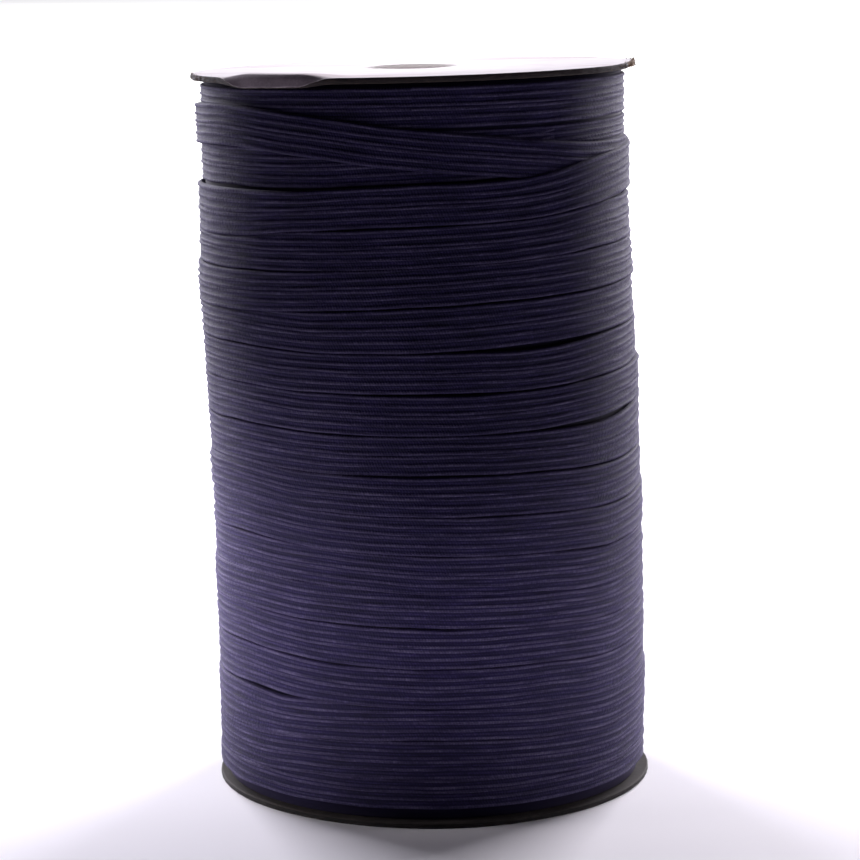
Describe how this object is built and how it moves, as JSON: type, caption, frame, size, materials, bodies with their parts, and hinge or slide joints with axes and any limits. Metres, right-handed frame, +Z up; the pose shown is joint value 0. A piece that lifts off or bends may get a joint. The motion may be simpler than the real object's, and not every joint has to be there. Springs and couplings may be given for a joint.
{
  "type": "reel of elastic",
  "caption": "Upright card reel wound full with flat ribbed dark navy elastic, with round flanges at both ends and an open bore for a spindle.",
  "frame": {"origin": "middle of the whole part's base, on the surface that the bottom flange stands on", "axes": "+Z up along the bore, -Y towards the front, +X to the right seen from the front"},
  "size_m": [0.0922, 0.0894, 0.1473],
  "materials": {
    "elastic": "ribbed knitted elastic, dull with a faint sheen",
    "white_card": "white-faced card, dull",
    "grey_card": "grey-brown board, dull"
  },
  "bodies": {
    "root": {"flange_bottom": "grey_card", "core": "grey_card", "winding": "elastic", "flange_top": "white_card"}
  },
  "joints": []
}
